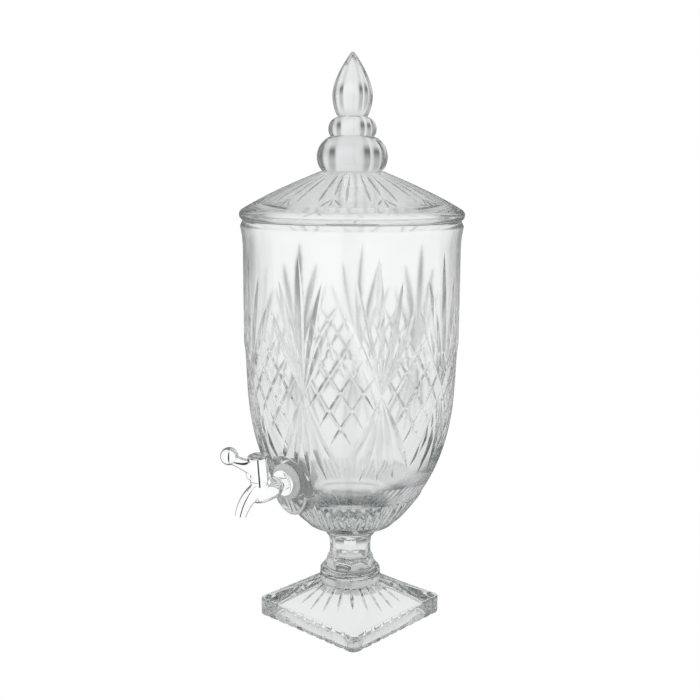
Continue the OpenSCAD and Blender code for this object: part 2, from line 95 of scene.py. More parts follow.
# Tap hole: the shank's frame starts on the boss face and points outwards and a little down
TAP_Z = 144.0
BOSS_FACE = 79.006
TAP_TILT = math.radians(5.0)
BOSS_T = 14.0
SIDE = np.array((1.0, 0.0, 0.0))
SHANK_OUT = np.array((0.0, -math.cos(TAP_TILT), -math.sin(TAP_TILT)))
SHANK_UP = np.array((0.0, -math.sin(TAP_TILT), math.cos(TAP_TILT)))
BOSS_CENTRE = np.array((0.0, -BOSS_FACE, TAP_Z))
NOSE_R = 22.6
NOSE_EDGE_R = 3.0
NOSE_DRAFT = 1.5
NOSE_ROOT = 26.0
NOSE_DROP = 1.38
NOSE_CORE_R = 2.0
SHANK_COLUMNS = 96
PAD_R = 17.0
FACE_R = 23.0
POCKET_R = 16.0
HOLE_R = 8.5


def bezier(points, steps):
    """Points along a cubic curve: the four drawn points weighed by the Bernstein polynomials of t."""
    t = np.linspace(0.0, 1.0, steps + 1)[:, None]
    p = np.asarray(points, float)
    return (1 - t) ** 3 * p[0] + 3 * t * (1 - t) ** 2 * p[1] + 3 * t ** 2 * (1 - t) * p[2] + t ** 3 * p[3]


def arc(centre, radius, start, end, steps):
    """Points of a circle about centre, from the angle start to the angle end in degrees."""
    a = np.radians(np.linspace(start, end, steps + 1))
    return np.column_stack((centre[0] + radius * np.cos(a), centre[1] + radius * np.sin(a)))


def polar(azimuth, radius, z):
    """Points at an azimuth in degrees, a radius and a height, as one array with x, y, z last."""
    a = np.radians(azimuth)
    return np.stack(np.broadcast_arrays(radius * np.sin(a), -radius * np.cos(a), z), axis=-1)


def skin(rings):
    """Points and faces of stacked rings (rows, columns, 3): quads between rows, a polygon at each end."""
    rows, columns = rings.shape[:2]
    index = np.arange(rows * columns).reshape(rows, columns)
    after = np.roll(index, -1, axis=1)
    quads = np.stack((index[:-1], after[:-1], after[1:], index[1:]), axis=-1).reshape(-1, 4)
    faces = quads.tolist() + [index[0, ::-1].tolist(), index[-1].tolist()]
    return rings.reshape(-1, 3), faces


def turned(profile, columns):
    """A profile of (radius, height) carried round the axis."""
    azimuth = np.arange(columns) * 360.0 / columns
    return skin(polar(azimuth[None, :], profile[:, :1], profile[:, 1:]))


def mesh_object(name, points, faces, merge=0.0):
    """An object at the origin with its points in millimetres; points closer than merge become one."""
    mesh = bpy.data.meshes.new(name)
    mesh.from_pydata((np.asarray(points) * MM).tolist(), [], faces)
    if merge:
        work = bmesh.new()
        work.from_mesh(mesh)
        bmesh.ops.remove_doubles(work, verts=work.verts, dist=merge * MM)
        work.to_mesh(mesh)
        work.free()
    made = bpy.data.objects.new(name, mesh)
    SCENE.collection.objects.link(made)
    return made


def combine(target, tool, operation):
    """Joins the tool to the target or cuts it away, as the target's new mesh, and drops the tool."""
    step = target.modifiers.new(operation.lower(), "BOOLEAN")
    step.object = tool
    step.operation = operation
    step.solver = "MANIFOLD"
    shaped = bpy.data.meshes.new_from_object(target.evaluated_get(bpy.context.evaluated_depsgraph_get()))
    target.modifiers.clear()
    target.data = shaped
    bpy.data.objects.remove(tool)


def dress(piece, body, material, nodes, crease):
    """Shades a piece smooth up to the crease angle, gives it its finish and puts it in place of its nodes."""
    piece.data.shade_smooth()
    piece.data.set_sharp_from_angle(angle=math.radians(crease))
    piece.data.materials.clear()
    piece.data.materials.append(material)
    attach(piece, body)
    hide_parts(*nodes)


# Cut patterns: strokes are V cuts along a spine, drawn on the unrolled surface
LEAF_START = 0.02
LEAF_POWER = 0.8
SLIVER = 1e-5
SNAP = 1e-4
ON_SIDE = 1e-3
MERGE = 0.004


def stroke(spine, widths, slope):
    """A V cut: the points of its spine, its half width at each of them and the slope of its two faces."""
    return np.asarray(spine, float), np.asarray(widths, float), slope


def leaf(root, tip, half_width, slope, bow=0.0, steps=12, fullest=0.6):
    """A leaf-shaped V cut from root to tip, bowed sideways, widest at the share fullest of its length."""
    root, tip = np.asarray(root, float), np.asarray(tip, float)
    t = np.linspace(LEAF_START, 1.0, steps)
    along = tip - root
    across = np.array((-along[1], along[0]))
    spine = root + t[:, None] * along + (bow * 4 * t * (1 - t))[:, None] * across
    rise = np.sin(0.5 * np.pi * np.clip(t / fullest, 0, 1)) ** LEAF_POWER
    fall = np.cos(0.5 * np.pi * np.clip((t - fullest) / (1 - fullest), 0, 1)) ** LEAF_POWER
    return stroke(spine, half_width * np.maximum(np.minimum(rise, fall), 0.0), slope)


def outline(cut):
    """The two edges of a V cut: its spine moved sideways by the half width."""
    spine, widths, _ = cut
    run = np.gradient(spine, axis=0)
    side = np.column_stack((-run[:, 1], run[:, 0])) / np.linalg.norm(run, axis=1)[:, None]
    return spine + widths[:, None] * side, spine - widths[:, None] * side


def cut_depth(points, cuts):
    """Depth of the deepest V cut at each point: slope times the half width that is left there."""
    depth = np.zeros(len(points))
    for spine, widths, slope in cuts:
        start, run = spine[:-1], np.diff(spine, axis=0)
        t = np.einsum("psk,sk->ps", points[:, None] - start, run) / np.einsum("sk,sk->s", run, run)
        t = np.clip(t, 0.0, 1.0)
        distance = np.linalg.norm(points[:, None] - start - t[..., None] * run, axis=2)
        width = widths[:-1] + t * np.diff(widths)
        depth = np.maximum(depth, slope * (width - distance).max(axis=1))
    return depth


def cut_cell(half, low, high, cuts, gap, columns, lines=()):
    """One repeat of a cut pattern, triangulated so that each cut's edges and spine are edges of the mesh.

    The cell runs from -half to half and from low to high. Its sides carry points a gap apart, its two ends
    carry columns[0] and columns[1] equal steps, and a net of points a gap apart fills what is left plain."""
    points, edges = [], []

    def path(line):
        first = len(points)
        points.extend(map(tuple, line))
        edges.extend((first + i, first + i + 1) for i in range(len(line) - 1))

    rows = np.linspace(low, high, int((high - low) / gap) + 1)
    for side in (-half, half):
        path(np.column_stack((np.full(len(rows), side), rows)))
    for level, count in zip((low, high), columns):
        across = np.linspace(-half, half, count + 1)
        path(np.column_stack((across, np.full(count + 1, level))))
    for cut in cuts:
        for line in (*outline(cut), cut[0]):
            path(line[abs(line[:, 0]) < half + gap])
    for line in lines:
        path(line)
    across = np.arange(-half + gap / 2, half, gap)
    net = np.array([(x + gap / 4 * (-1) ** i, y) for i, y in enumerate(rows[1:-1]) for x in across])
    net = net[abs(net[:, 0]) < half - gap / 3]
    wide = [(spine, widths + gap / 3, 1.0) for spine, widths, _ in cuts]
    net = net[cut_depth(net, wide) <= 0]
    points.extend(map(tuple, net))
    made = delaunay_2d_cdt([Vector(p) for p in points], edges, [], 0, SNAP)
    flat = np.array([tuple(v) for v in made[0]])
    faces = np.array(made[2])
    middle = flat[faces].mean(axis=1)
    faces = faces[(abs(middle[:, 0]) < half) & (middle[:, 1] > low) & (middle[:, 1] < high)]
    a, b, c = (flat[faces[:, i]] for i in range(3))
    turn = (b - a)[:, 0] * (c - a)[:, 1] - (b - a)[:, 1] * (c - a)[:, 0]
    kept = abs(turn) > SLIVER
    faces, turn = faces[kept], turn[kept]
    faces[turn < 0] = faces[turn < 0][:, ::-1]
    return flat, faces


# Pattern on the urn: nine star nodes, each with an upper and a lower fan, and crossed panels between them
REPEATS = 9
CELL = 360.0 / REPEATS
PATTERN_TURN = -2.1
ARC = math.radians(1.0) * BOWL_R
NODE_Z = 224.5
PANEL_Z = 226.0
UPPER_TIPS = ((0.0, 337.0), (12.0, 316.0), (18.6, 292.0))
UPPER_LEAN = -0.021
LOWER_TIPS = ((0.0, 149.0), (10.5, 150.0), (19.0, 160.0))
BLADE_HALF = 3.4
BLADE_SLOPE = 0.55
LOWER_BOW = -0.02
LATTICE = (-2.0, 0.0, 2.0)
LATTICE_SHIFT = -0.8
LATTICE_DEG = 5.8
LATTICE_MM = 14.5
LATTICE_END = 3.9
LATTICE_TAPER = 3.0
LATTICE_TIP = 0.05
LATTICE_HALF = 1.7
LATTICE_SLOPE = 0.8
RIBS = 54
RIB_DEPTH = 2.0
RIB_PROUD = 1.0
RIB_LOW = 95.0
RIB_TOP = 121.5
RIB_ROUND = 3.5
RIB_POWER = 1.5
RIB_ROWS = (-1.5, 0.0, 0.8, 2.0, 4.0, 8.0, 13.2, 18.5, 22.5, 24.5, 25.7, 26.5, 28.0)


def urn_cuts():
    """The V cuts of one repeat: both fans of the nodes at its sides, and the crossed panel between."""
    cuts = []
    for node in (-CELL / 2, CELL / 2):
        for tips, lean, bow in ((UPPER_TIPS, UPPER_LEAN, 0.0), (LOWER_TIPS, 0.0, LOWER_BOW)):
            for offset, tip_z in tips:
                for side in (-1, 1) if offset else (1,):
                    reach = (node + side * offset + lean * (tip_z - NODE_Z)) * ARC
                    bend = bow * side * bool(offset)
                    cuts.append(leaf((node * ARC, NODE_Z), (reach, tip_z), BLADE_HALF, BLADE_SLOPE, bend))
    v = np.linspace(-LATTICE_END, LATTICE_END, 9)
    taper = LATTICE_HALF * np.clip(LATTICE_TAPER * (1 - abs(v) / LATTICE_END), LATTICE_TIP, 1.0)
    for u in LATTICE:
        for mirror in (-1, 1):
            azimuth = mirror * (u + v) / 2 * LATTICE_DEG + LATTICE_SHIFT
            height = PANEL_Z + (u - v) / 2 * LATTICE_MM
            cuts.append(stroke(np.column_stack((azimuth * ARC, height)), taper, LATTICE_SLOPE))
    return cuts


def flare(wall, rim):
    """The stretch under the rim where a wall widens from one radius to another."""
    bend, ease = RIM_Z - FLARE_BEND, RIM_Z - FLARE_EASE
    return bezier(((wall, FLARE_Z), (wall, bend), (rim, ease), (rim, RIM_Z - EDGE_R)), 8)


def urn_profile():
    """Radius and height of the urn's outside, from its base to the flared rim under the lid."""
    edge = arc((RIM_R - EDGE_R, RIM_Z - EDGE_R), EDGE_R, 0, 90, 5)
    return np.vstack((bezier(OUTER_BELLY, 200), flare(BOWL_R, RIM_R), edge[1:]))


def rib_height(azimuth, z):
    """Height of the ribbed band over the wall: round ribs side by side, with rounded ends above and below."""
    near_end = np.clip(np.minimum(z - RIB_LOW, RIB_TOP - z) / RIB_ROUND, 0.0, 1.0)
    end = np.sqrt(1 - (1 - near_end) ** 2)
    aside = abs((azimuth - PATTERN_TURN) * RIBS / 180.0 % 2.0 - 1.0)
    return end * (RIB_PROUD - RIB_DEPTH * aside ** RIB_POWER)


def nose_rings():
    """The nose of glass that carries the tap: a round-edged drum about the shank's axis, longer below."""
    front = arc((NOSE_R - NOSE_EDGE_R, -NOSE_EDGE_R), NOSE_EDGE_R, 0, 90, 10)
    root = (NOSE_CORE_R, -NOSE_ROOT), (NOSE_R + NOSE_DRAFT, -NOSE_ROOT)
    profile = np.vstack((root, front, (NOSE_CORE_R, 0.0)))
    a = np.radians(np.arange(SHANK_COLUMNS) * 360.0 / SHANK_COLUMNS)[None, :, None]
    around = np.cos(a) * SIDE + np.sin(a) * np.where(np.sin(a) < 0, NOSE_DROP, 1.0) * SHANK_UP
    return BOSS_CENTRE + profile[:, None, :1] * around + profile[:, None, 1:] * SHANK_OUT


def urn_wall():
    """The urn's outside: radius of the profile less the cuts, plus the ribs."""
    half = CELL / 2 * ARC
    cuts = urn_cuts()
    rib_x = np.linspace(-half, half, RIBS // REPEATS * RIB_STEPS + 1)
    ribs = [np.column_stack((np.full(len(RIB_ROWS), x), RIB_LOW + np.array(RIB_ROWS))) for x in rib_x[1:-1]]
    profile = urn_profile()
    cells, corners, first = [], [], 0
    steps = len(rib_x) - 1, RIM_STEPS
    flat, faces = cut_cell(half, BELLY_LOW, RIM_Z, cuts, WALL_GAP, steps, ribs)
    depth = cut_depth(flat, cuts)
    x = np.where(abs(abs(flat[:, 0]) - half) < ON_SIDE, np.sign(flat[:, 0]) * half, flat[:, 0])
    z = flat[:, 1]
    for repeat in range(REPEATS):
        azimuth = x / ARC + repeat * CELL + PATTERN_TURN
        radius = np.interp(z, profile[:, 1], profile[:, 0]) - depth + rib_height(azimuth, z)
        cells.append(polar(azimuth, radius, z))
        corners.append(faces + first)
        first += len(flat)
    return np.vstack(cells), np.vstack(corners).tolist()


def urn_inside():
    """Radius and height of the urn's inside, flared like the outside and closed above the rim."""
    wall, rim = BOWL_R - BOWL_WALL, RIM_R - BOWL_WALL
    floor = ((CORE_R, FLOOR_Z - FLOOR_DIP),)
    return np.vstack((floor, bezier(INNER_BELLY, 60), flare(wall, rim), ((rim, RIM_Z + CUT_PAST),)))


def shank_cylinder(radius, start, end):
    """A cylinder about the shank's axis, from one distance along it to another."""
    a = np.radians(np.arange(SHANK_COLUMNS) * 360.0 / SHANK_COLUMNS)[None, :, None]
    ring = radius * (np.cos(a) * SIDE + np.sin(a) * SHANK_UP)
    along = np.array((start, end))[:, None, None]
    return skin(BOSS_CENTRE + ring + along * SHANK_OUT)


def cap_open_ends(piece):
    """Closes each open round end of a mesh with one polygon."""
    work = bmesh.new()
    work.from_mesh(piece.data)
    bmesh.ops.holes_fill(work, edges=[e for e in work.edges if e.is_boundary], sides=0)
    bmesh.ops.recalc_face_normals(work, faces=work.faces)
    work.to_mesh(piece.data)
    work.free()


def mark_inside(piece, is_inside):
    """Face attribute, 1 where is_inside holds for the radius and height of a face's middle, else 0."""
    mesh = piece.data
    middle = np.empty(3 * len(mesh.polygons))
    mesh.polygons.foreach_get("center", middle)
    x, y, z = middle.reshape(-1, 3).T / MM
    inside = is_inside(np.hypot(x, y), z)
    mesh.attributes.new("inside", "FLOAT", "FACE").data.foreach_set("value", inside.astype(float))


def in_hollow(radius, z):
    """Whether a point is on the hollow's wall or within it."""
    profile = urn_inside()
    wall = np.interp(z, profile[:, 1], profile[:, 0])
    return (radius < wall + INSIDE_WITHIN) & (z > FLOOR_Z - INSIDE_WITHIN)


# Foot and stem
FOOT_COLUMNS = 576
FOOT_CORNER = 7.0
PLINTH_H = 16.0
NOTCHES = 9
NOTCH_R = 3.0
NOTCH_DEPTH = 1.1
FOOT_TOP = 34.0
STEM_FOOT_R = 27.0
FLUTES = 24
FLUTE_DEPTH = 1.0
FLUTE_HALF = 1.5
FLUTE_END = 52.0
NICK_FADE = 3.4
NICK_MIDDLE = 0.12
STEM_SIDES = 8
FLATS_FROM, FLATS_TO = 50.0, 78.0
FLATS_BLEND = 7.0
DOME_CORE = 0.02
DOME_SHARE = 0.8
DOME_H = 22.0
DOME_POWER = 2.2
# Rows of the foot's side: inset and height from below, then inset and depth under its top
FOOT_SIDE = ((1.6, 0.0), (0.5, 0.4), (0.0, 1.4))
FOOT_EDGE = ((0.0, 1.2), (0.4, 0.4), (1.2, 0.0))
SIDE_ROWS_FROM = 2.4
SLOPE_INSET = 2.2
SLOPE_CORNER = 1.5
SLOPE_SWELL = 1.5
FLUTE_FADE = 9.0
FLUTE_POWER = 0.6
# Stem from its collar up: radius and height of its points, and of the points that draw its curves
STEM_BEADS = ((26.6, 34.6), (27.4, 35.4), (27.4, 40.6), (26.5, 41.6), (27.2, 42.6), (27.2, 44.4),
              (26.5, 45.3))
STEM_SWEEP = ((26.0, 45.6), (23.4, 48.0), (21.2, 51.6), (20.6, 57.0))
STEM_STEP = ((20.2, 57.8), (19.2, 58.4))
STEM_WAIST = ((19.0, 58.8), (18.2, 62.0), (18.2, 67.0), (19.2, 73.0))
STEM_LIP = ((20.0, 76.0), (21.2, 77.5), (21.7, 78.2))
STEM_COVE = ((21.9, 78.6), (22.8, 83.6), (28.0, 87.6), (36.8, 89.5))
STEM_ROOT = ((37.6, 90.4), (30.0, 95.0))


def square_radius(azimuth, half, corner):
    """Radius of a square with round corners at each azimuth: its side, or the arc about a corner's centre."""
    a = np.radians((azimuth + 45.0) % 90.0 - 45.0)
    side = half / np.cos(a)
    reach = math.sqrt(2.0) * (half - corner)
    turn = math.pi / 4 - abs(a)
    bend = reach * np.cos(turn) + np.sqrt(np.clip(corner ** 2 - (reach * np.sin(turn)) ** 2, 0, None))
    return np.where(np.tan(abs(a)) * half > half - corner, bend, side)


def notch_depth(azimuth):
    """Depth of the round notches along the foot's sides, by the distance from a notch's middle."""
    along = np.tan(np.radians((azimuth + 45.0) % 90.0 - 45.0)) * FOOT_HALF
    pitch = 2 * (FOOT_HALF - FOOT_CORNER) / NOTCHES
    aside = (along + pitch / 2) % pitch - pitch / 2
    depth = np.sqrt(np.clip(NOTCH_R ** 2 - aside ** 2, 0, None)) - (NOTCH_R - NOTCH_DEPTH)
    return np.where(abs(along) < FOOT_HALF - FOOT_CORNER, np.clip(depth, 0, None), 0.0)


def pedestal_rings():
    """Foot and stem as rings: a notched square, a fluted pyramid, a beaded collar, eight flats and a cove."""
    azimuth = np.arange(FOOT_COLUMNS) * 360.0 / FOOT_COLUMNS
    a = np.radians((azimuth + 45.0) % 90.0 - 45.0)
    notch = notch_depth(azimuth)
    edge = square_radius(azimuth, FOOT_HALF, FOOT_CORNER)
    rings = []

    def ring(radius, z):
        rings.append(polar(azimuth, radius, z))

    for share in np.linspace(DOME_CORE, DOME_SHARE, 16):
        ring(edge * share, DOME_H * (1 - (share / DOME_SHARE) ** DOME_POWER))
    middle = [(0.0, z) for z in np.linspace(SIDE_ROWS_FROM, PLINTH_H - SIDE_ROWS_FROM, 12)]
    sides = (*FOOT_SIDE, *middle, *((inset, PLINTH_H - below) for inset, below in FOOT_EDGE))
    for inset, z in sides:
        from_edge = min(z, PLINTH_H - z)
        share = NICK_MIDDLE + (1 - NICK_MIDDLE) * max(0.0, 1 - (from_edge / NICK_FADE) ** 2)
        ring(edge - inset - share * notch / np.cos(a), z)
    slope_edge = square_radius(azimuth, FOOT_HALF - SLOPE_INSET, FOOT_CORNER - SLOPE_CORNER)
    flute = (azimuth + 180.0 / FLUTES) % (360.0 / FLUTES) - 180.0 / FLUTES
    for share in np.linspace(0.0, 1.0, 40):
        radius = slope_edge + (STEM_FOOT_R - slope_edge) * share
        z = PLINTH_H + (FOOT_TOP - PLINTH_H) * share + SLOPE_SWELL * share * (1 - share)
        aside = abs(np.radians(flute)) * radius
        end = FLUTE_HALF * np.clip((FLUTE_END - radius) / FLUTE_FADE, 0, 1) ** FLUTE_POWER
        ring(radius, z - FLUTE_DEPTH * np.clip(end - aside, 0, None) / FLUTE_HALF)
    half_side = 180.0 / STEM_SIDES
    from_middle = (azimuth + 2 * half_side) % (2 * half_side) - half_side
    flat = np.cos(math.pi / STEM_SIDES) / np.cos(np.radians(from_middle))
    stem = np.vstack((STEM_BEADS, bezier(STEM_SWEEP, 12), STEM_STEP, bezier(STEM_WAIST, 8), STEM_LIP,
                      bezier(STEM_COVE, 12), STEM_ROOT))
    for radius, z in stem:
        flatness = min(max((z - FLATS_FROM) / FLATS_BLEND, 0.0), max(FLATS_TO - z, 0.0), 1.0)
        ring(radius * (1 + flatness * (flat - 1)), z)
    return np.array(rings)


def urn(material):
    """The fused urn and pedestal: cut wall, hollow, tap hole with its pocket and face, and the foot."""
    made = mesh_object("urn_glass", *urn_wall(), merge=MERGE)
    cap_open_ends(made)
    combine(made, mesh_object("nose", *skin(nose_rings())), "UNION")
    hollow = mesh_object("hollow", *turned(urn_inside(), HOLLOW_COLUMNS))
    combine(hollow, mesh_object("pad", *shank_cylinder(PAD_R, -BOSS_T, BOSS_T)), "DIFFERENCE")
    combine(made, hollow, "DIFFERENCE")
    bores = (FACE_R, 0.0, BOSS_T), (POCKET_R, -3 * BOSS_T, -BOSS_T), (HOLE_R, -BOSS_T - CUT_OVER, CUT_OVER)
    for bore in bores:
        combine(made, mesh_object("tool", *shank_cylinder(*bore)), "DIFFERENCE")
    combine(made, mesh_object("foot", *skin(pedestal_rings())), "UNION")
    dress(made, "vessel", material, ("bowl", "pedestal"), URN_CREASE)
    mark_inside(made, in_hollow)


# Lid: twelve groups of three rays and a small star
LID_GROUPS = 12
LID_CELL = 360.0 / LID_GROUPS
LID_TURN = 1.2
LID_RIM_R = 5.4
LID_EDGE = 62.0
LID_WALL = 6.0
LID_NECK_R = 27.0
LID_SWELL = 2.8
LID_GAP = 3.6
LID_STEPS = 16
LID_CREASE = 14
CROWN_EDGE = 4.0
CROWN_DISH = 0.4
RING_R = 87.0
RING_IN_R = 80.0
RING_DEPTH = 0.9
LID_MID_R = 60.0
RAY_HALF = 1.1
RAY_SLOPE = 0.7
RAYS = ((-8.0, 80.0), (0.0, 71.0), (8.0, 80.0))
RAY_START = 38.0
RAY_TAPER = np.array((0.25, 0.6, 0.85, 1, 1, 1, 0.95, 0.7, 0.05))
STAR_HALF = 1.1
STAR_SLOPE = 0.5
STARS = ((0.0, 75.5, 0.0, 88.0), (-0.6, 76.0, -5.5, 86.5), (0.6, 76.0, 5.5, 86.5))


def lid_slope():
    """Radius and height of the lid's sloping top, from its rounded edge to its neck."""
    rim = np.array((LID_R - LID_RIM_R, RIM_Z + LID_RIM_R))
    edge = rim + LID_RIM_R * np.array((math.cos(math.radians(LID_EDGE)), math.sin(math.radians(LID_EDGE))))
    neck = np.array((LID_NECK_R, LID_TOP))
    third = (neck - edge) / 3
    return bezier((edge, edge + third + (0, LID_SWELL), neck - third + (0, LID_SWELL / 2), neck), 60)


def lid_glass(material):
    """The lid with its finial: cut cone, rounded rim, locating ring and lobed knob, all one glass."""
    slope = lid_slope()
    edge = slope[0]
    arc_mm = math.radians(1.0) * LID_MID_R
    half = LID_CELL / 2 * arc_mm
    up = edge[0] - slope[:, 0]

    def flat_point(offset, radius):
        return offset * arc_mm, edge[0] - radius

    cuts = [stroke(np.linspace(flat_point(offset, RAY_START), flat_point(offset, end), len(RAY_TAPER)),
                   RAY_HALF * RAY_TAPER, RAY_SLOPE) for offset, end in RAYS]
    cuts += [leaf(flat_point(a, start), flat_point(b, end), STAR_HALF, STAR_SLOPE, steps=6)
             for a, start, b, end in STARS]
    flat, faces = cut_cell(half, 0.0, up[-1], cuts, LID_GAP, (LID_STEPS, LID_STEPS))
    depth = cut_depth(flat, cuts)
    x = np.where(abs(abs(flat[:, 0]) - half) < ON_SIDE, np.sign(flat[:, 0]) * half, flat[:, 0])
    radius = edge[0] - flat[:, 1]
    z = np.interp(flat[:, 1], up, slope[:, 1]) - depth
    points = [polar(x / arc_mm + LID_TURN + k * LID_CELL, radius, z) for k in range(LID_GROUPS)]
    corners = [faces + k * len(flat) for k in range(LID_GROUPS)]
    columns = LID_STEPS * LID_GROUPS
    fall = (slope[-1, 1] - edge[1]) / (edge[0] - LID_NECK_R)
    drop = LID_WALL * math.hypot(1.0, fall)
    crown_r = LID_NECK_R - LID_WALL / 2
    ring_r = np.linspace(RING_IN_R, RING_R, 13)
    bump = np.sin(np.pi * np.linspace(0.0, 1.0, 13)) ** 2
    under = np.array(((CORE_R, LID_TOP - LID_WALL),
                      (crown_r - CROWN_EDGE, LID_TOP - LID_WALL + CROWN_DISH),
                      (crown_r, LID_TOP + fall * (LID_NECK_R - crown_r) - drop),
                      (RING_IN_R, edge[1] + fall * (edge[0] - RING_IN_R) - drop),
                      *np.column_stack((ring_r, RIM_Z - RING_DEPTH * bump))))
    rim = arc((LID_R - LID_RIM_R, RIM_Z + LID_RIM_R), LID_RIM_R, -90, LID_EDGE, 14)
    profile = np.vstack((under, rim))
    azimuth = np.arange(columns) * 360.0 / columns + LID_TURN - LID_CELL / 2
    rings = polar(azimuth[None, :], profile[:, :1], profile[:, 1:])
    ring_points, ring_faces = skin(rings)
    ring_faces.pop()
    base = LID_GROUPS * len(flat)
    faces_all = np.vstack(corners).tolist() + [[i + base for i in f] for f in ring_faces]
    made = mesh_object("lid_glass", np.vstack((*points, ring_points)), faces_all, merge=MERGE)
    cap_open_ends(made)
    combine(made, mesh_object("knob", *skin(finial_rings())), "UNION")
    dress(made, "lid", material, ("lid", "finial"), LID_CREASE)

    def under_lid(radius, z):
        return (z < np.interp(radius, under[:, 0], under[:, 1]) + INSIDE_WITHIN) & (radius < RING_IN_R)

    mark_inside(made, under_lid)


# Finial
LOBES = 8
LOBE_DEPTH = 0.05
FINIAL_TURN = 6.1
MELON = (30.2, 25.5, 18.5, 29.2)
KNOP = (20.4, 18.5, 12.5, 16.4)
BUD_R = 17.2
BUD_FOOT_R = 12.5
TIP_R = 1.2
MELON_DRAW = 0.2
KNOB_COLUMNS = 160
# Shares of the bud's height at which its curves are drawn, from its foot up
BUD_SHARES = (0.05, 0.19, 0.32, 0.51, 0.77)
BUD_SWELL = 2.35
BUD_TAPER = 0.6
# Root of the knob in the lid: radius, and height from the lid's top
KNOB_ROOT = ((22.0, -3.0), (24.7, -0.6))
VALLEY_POWER = 1.2


def melon_curve(widest, low_r, high_r, z, height):
    """Curve of one melon, from its foot to its top, drawn so that its middle has the radius widest."""
    draw = (8 * widest - low_r - high_r) / 6
    low_z, high_z = z + MELON_DRAW * height, z + (1 - MELON_DRAW) * height
    return bezier(((low_r, z), (draw, low_z), (draw, high_z), (high_r, z + height)), 22)


def finial_rings():
    """Two melons and a bud: turned curves whose radius falls into a valley between each two lobes."""
    knop_z = LID_TOP + MELON[3]
    bud_z = knop_z + KNOP[3]
    foot_z, low_z, wide_z, high_z, point_z = bud_z + np.array(BUD_SHARES) * (TIP_Z - bud_z)
    swell_r = BUD_FOOT_R + BUD_SWELL
    lower = bezier(((BUD_FOOT_R, bud_z), (swell_r, foot_z), (BUD_R, low_z), (BUD_R, wide_z)), 16)
    upper = bezier(((BUD_R, wide_z), (BUD_R, high_z), (BUD_TAPER * BUD_R, point_z), (TIP_R, TIP_Z)), 26)
    foot = np.array(KNOB_ROOT) + (0.0, LID_TOP)
    melon = melon_curve(*MELON[:3], LID_TOP, MELON[3])
    knop = melon_curve(*KNOP[:3], knop_z, KNOP[3])
    line = np.vstack((foot, melon, knop[1:], lower[1:], upper[1:]))
    azimuth = np.arange(KNOB_COLUMNS) * 360.0 / KNOB_COLUMNS
    valley = 1 - abs(np.cos(np.radians(LOBES / 2 * (azimuth - FINIAL_TURN))))
    share = 1 - LOBE_DEPTH * valley[None, :] ** VALLEY_POWER
    return polar(azimuth[None, :], line[:, :1] * share, line[:, 1:])


# Tap: distances out along the shank from the boss face, heights across it, angles from the spout towards +X
AXIS_OUT = 30.2
SHANK_IN = 27.0
THREAD_PITCH = 1.5
THREAD_R = (7.1, 8.0)
THREAD_STOP = 1.0
THREAD_END = ((1.5, 8.0),)
TAP_COLUMNS = 72
FLANGE = ((2.5, 8.0), (2.5, 11.75), (5.5, 11.75), (6.5, 11.48), (7.23, 10.75), (7.5, 9.75))
EGG = ((7.5, 6.6), (10.0, 7.4), (14.0, 8.5), (19.0, 9.2), (24.0, 9.5), (29.0, 9.3), (33.0, 8.7), (36.5, 7.6),
       (39.0, 5.8), (40.4, 3.5), (40.9, 1.0))
COLLAR_R = 8.0
COLLAR_H = 10.4
BEND_CENTRE = (28.4, -21.2)
BEND_OUTER_R = 31.6
BEND_FROM, BEND_TO = 82.0, 17.0
SPOUT_R = (7.6, 4.7)
SPOUT_BORE_R = 3.5
WINDOW_H = 3.0
WINDOW = (35.0, 145.0)
WINDOW_R = 6.75
BARREL_Z, BARREL_TOP = 10.7, 30.7
BARREL_R = (8.0, 7.7)
LEVER_AT = math.radians(-45.0)
HORN = ((2.0, 21.0, 8.2), (9.0, 23.4, 5.6), (15.0, 26.0, 3.2), (22.5, 31.5, 5.2))
BALL = (23.4, 32.9, 7.4)
HEEL = (7.0, 15.2, 4.2)
HEEL_TOP = 20.5
BALL_END = 87
BALL_RINGS = 30
TAB = (36.0, 54.0)
TAB_R = 7.05
TAB_GAP = 0.3
TAB_ROOT = 0.5
CHAMFER = 0.2
TAP_CREASE = 32
# Bores of the body: paths of (distance out, height, radius), and profiles of (radius, height)
SHANK_BORE = ((-SHANK_IN - CUT_OVER, 0.0, 4.8), (22.2, 0.0, 4.8))
PORT = ((21.0, 0.0, 2.8), (44.0, 0.0, 2.8))
CHAMBER = ((5.05, -6.5), (5.05, 11.4))
CLIP_SEAT = ((5.85, 7.6), (5.85, 11.4))
SPOUT_BORE_FROM = 9
SPOUT_POWER = 0.8
SPOUT_RINGS = 28
# Hollows of the handle, as profiles too: the last one is the room around the disc
SOCKET = ((4.0, 9.7), (4.0, 22.5))
SCREW_HOLE = ((1.7, 22.0), (1.7, 27.0))
HEAD_SEAT = ((3.5, 26.3), (3.5, 31.5))
SPIGOT_SEAT = ((6.45, 28.6), (6.45, 31.5))
DISC_ROOM = ((9.2, BARREL_TOP), (9.2, 45.0))


def tap_point(out, up, side):
    """Points by their distance out along the shank, their height across it and their distance to the side."""
    out, up, side = np.broadcast_arrays(out, up, side)
    return BOSS_CENTRE + out[..., None] * SHANK_OUT + up[..., None] * SHANK_UP + side[..., None] * SIDE


def sweep(path):
    """A round section carried along a path of (distance out, height, radius), square to the path."""
    path = np.asarray(path, float)
    run = np.gradient(path[:, :2], axis=0)
    run = run / np.linalg.norm(run, axis=1)[:, None]
    a = np.radians(np.arange(TAP_COLUMNS) * 360.0 / TAP_COLUMNS)[None, :]
    across, side = path[:, 2:] * np.sin(a), path[:, 2:] * np.cos(a)
    return skin(tap_point(path[:, :1] - across * run[:, 1:], path[:, 1:2] + across * run[:, :1], side))


